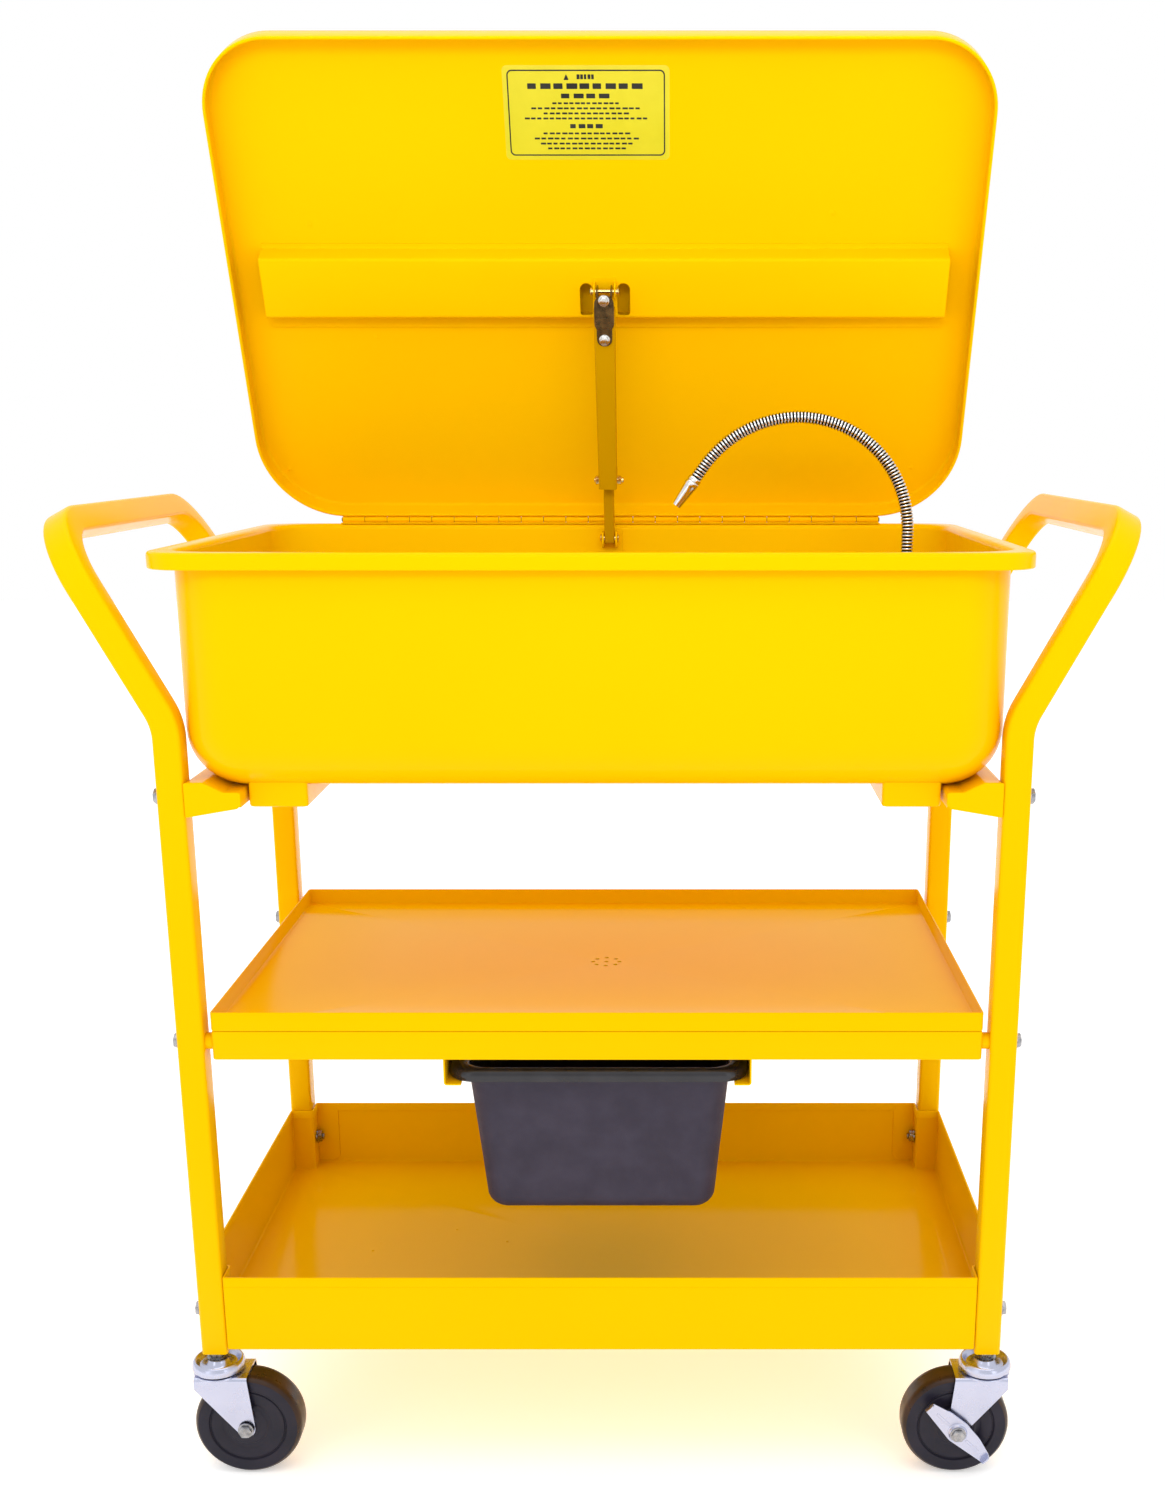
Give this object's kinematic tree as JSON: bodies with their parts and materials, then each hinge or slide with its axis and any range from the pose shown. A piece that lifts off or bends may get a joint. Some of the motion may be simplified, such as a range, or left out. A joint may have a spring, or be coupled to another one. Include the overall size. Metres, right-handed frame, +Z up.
{
  "type": "parts washer tank",
  "caption": "Wheeled parts washer: hinged-lid solvent tank with flexible spout on a tube cart with drain shelf, sliding drain bin and lower tray.",
  "frame": {"origin": "floor level, under the middle of the outline with the lid open", "axes": "+X to the right seen from the front, +Y to the back, +Z up; the front of the tank faces -Y"},
  "size_m": [0.9834, 0.5261, 1.3895],
  "materials": {
    "yellow_paint": "glossy powder coat",
    "zinc_plate": "bright zinc plate",
    "cast_alloy": "satin cast alloy",
    "chrome_hose": "interlocked metal hose",
    "brass_link": "soldered plates",
    "black_plastic": "matt moulded",
    "bin_plastic": "fine grained, glossy rim",
    "red_plastic": "glossy",
    "steel_shelf": "plain punched sheet",
    "label_film": "printed film",
    "hard_rubber": "hard moulded, dull sheen"
  },
  "bodies": {
    "cart": {"end_frame_left": "yellow_paint", "end_frame_right": "yellow_paint", "leg_inserts": "black_plastic", "caster_stems": "zinc_plate", "stem_nuts": "zinc_plate", "tank_supports": "yellow_paint", "tank_feet": "yellow_paint", "bottom_tray": "yellow_paint", "shelf_frame": "yellow_paint", "drain_shelf": "yellow_paint", "shelf_spacers": "zinc_plate", "bin_rails": "yellow_paint", "frame_bolts": "zinc_plate", "frame_nuts": "zinc_plate", "tank": "yellow_paint", "drain_plug": "zinc_plate", "hinge_tank_leaf": "yellow_paint", "hinge_pin": "zinc_plate", "stay_base_bracket": "yellow_paint", "stay_base_pin": "zinc_plate", "pump_body": "black_plastic", "pump_strainer": "zinc_plate", "spout_base": "cast_alloy", "spout_pin": "zinc_plate", "switch_box": "black_plastic", "cable_gland": "black_plastic", "work_shelf": "steel_shelf"},
    "lid": {"lid_panel": "yellow_paint", "lid_stiffener": "yellow_paint", "lid_label": "label_film", "hinge_lid_leaf": "yellow_paint", "stay_clevis": "zinc_plate", "stay_top_pin": "zinc_plate"},
    "stay_upper": {"stay_arm": "yellow_paint", "stay_fuse_link": "brass_link", "stay_fuse_bolts": "zinc_plate", "stay_knee_bolt": "zinc_plate"},
    "stay_lower": {"stay_link": "yellow_paint"},
    "spout": {"spout_foot": "cast_alloy", "gooseneck": "chrome_hose", "spout_nozzle": "chrome_hose"},
    "bin": {"drain_bin": "bin_plastic"},
    "rocker": {"switch_rocker": "red_plastic"},
    "caster_front_left": {"fork_front_left": "zinc_plate", "axle_front_left": "zinc_plate"},
    "roller_front_left": {"wheel_front_left": "hard_rubber"},
    "caster_front_right": {"fork_front_right": "zinc_plate", "axle_front_right": "zinc_plate"},
    "roller_front_right": {"wheel_front_right": "hard_rubber"},
    "lever_front_right": {"brake_front_right": "zinc_plate"},
    "caster_rear_left": {"fork_rear_left": "zinc_plate", "axle_rear_left": "zinc_plate"},
    "roller_rear_left": {"wheel_rear_left": "hard_rubber"},
    "caster_rear_right": {"fork_rear_right": "zinc_plate", "axle_rear_right": "zinc_plate"},
    "roller_rear_right": {"wheel_rear_right": "hard_rubber"},
    "lever_rear_right": {"brake_rear_right": "zinc_plate"}
  },
  "joints": [
    {"name": "lid_hinge", "type": "hinge", "parent": "cart", "child": "lid", "pos_m": [0, 0.2395, 0.9175], "axis": [1, 0, 0], "range_deg": [0, 67]},
    {"name": "stay_arm_pivot", "type": "hinge", "parent": "lid", "child": "stay_upper", "pos_m": [0, 0.13239, 1.15449], "axis": [1, 0, 0], "range_deg": [-12.6, 0]},
    {"name": "stay_link_pivot", "type": "hinge", "parent": "cart", "child": "stay_lower", "pos_m": [0, 0.206, 0.8989], "axis": [1, 0, 0], "range_deg": [0, 128.8]},
    {"name": "spout_fold", "type": "hinge", "parent": "cart", "child": "spout", "pos_m": [0.313, 0.049, 0.8055], "axis": [1, 0, 0], "range_deg": [0, 90.1]},
    {"name": "bin_slide", "type": "slide", "parent": "cart", "child": "bin", "axis": [0, -1, 0], "range_m": [0, 0.28]},
    {"name": "rocker_tilt", "type": "hinge", "parent": "cart", "child": "rocker", "pos_m": [0.275, 0.251, 0.8215], "axis": [1, 0, 0], "range_deg": [-10, 10]},
    {"name": "swivel_front_left", "type": "hinge", "parent": "cart", "child": "caster_front_left", "pos_m": [-0.383, -0.2253, 0.107], "axis": [0, 0, 1], "continuous": true},
    {"name": "roll_front_left", "type": "hinge", "parent": "caster_front_left", "child": "roller_front_left", "pos_m": [-0.3545, -0.2253, 0.0535], "axis": [0, 1, 0], "continuous": true},
    {"name": "swivel_front_right", "type": "hinge", "parent": "cart", "child": "caster_front_right", "pos_m": [0.383, -0.2253, 0.107], "axis": [0, 0, 1], "continuous": true},
    {"name": "roll_front_right", "type": "hinge", "parent": "caster_front_right", "child": "roller_front_right", "pos_m": [0.3545, -0.2253, 0.0535], "axis": [0, 1, 0], "continuous": true},
    {"name": "brake_turn_front_right", "type": "hinge", "parent": "caster_front_right", "child": "lever_front_right", "pos_m": [0.3545, -0.2523, 0.0535], "axis": [0, 1, 0], "range_deg": [0, 20]},
    {"name": "swivel_rear_left", "type": "hinge", "parent": "cart", "child": "caster_rear_left", "pos_m": [-0.383, 0.2033, 0.107], "axis": [0, 0, 1], "continuous": true},
    {"name": "roll_rear_left", "type": "hinge", "parent": "caster_rear_left", "child": "roller_rear_left", "pos_m": [-0.3545, 0.2033, 0.0535], "axis": [0, 1, 0], "continuous": true},
    {"name": "swivel_rear_right", "type": "hinge", "parent": "cart", "child": "caster_rear_right", "pos_m": [0.383, 0.2033, 0.107], "axis": [0, 0, 1], "continuous": true},
    {"name": "roll_rear_right", "type": "hinge", "parent": "caster_rear_right", "child": "roller_rear_right", "pos_m": [0.3545, 0.2033, 0.0535], "axis": [0, 1, 0], "continuous": true},
    {"name": "brake_turn_rear_right", "type": "hinge", "parent": "caster_rear_right", "child": "lever_rear_right", "pos_m": [0.3545, 0.1763, 0.0535], "axis": [0, 1, 0], "range_deg": [0, 20]}
  ],
  "couplings": [
    {"joint": "stay_arm_pivot", "follows": "lid_hinge", "ratio": -0.18763},
    {"joint": "stay_link_pivot", "follows": "lid_hinge", "ratio": 1.9208},
    {"joint": "spout_fold", "follows": "lid_hinge", "ratio": 1.3433}
  ]
}
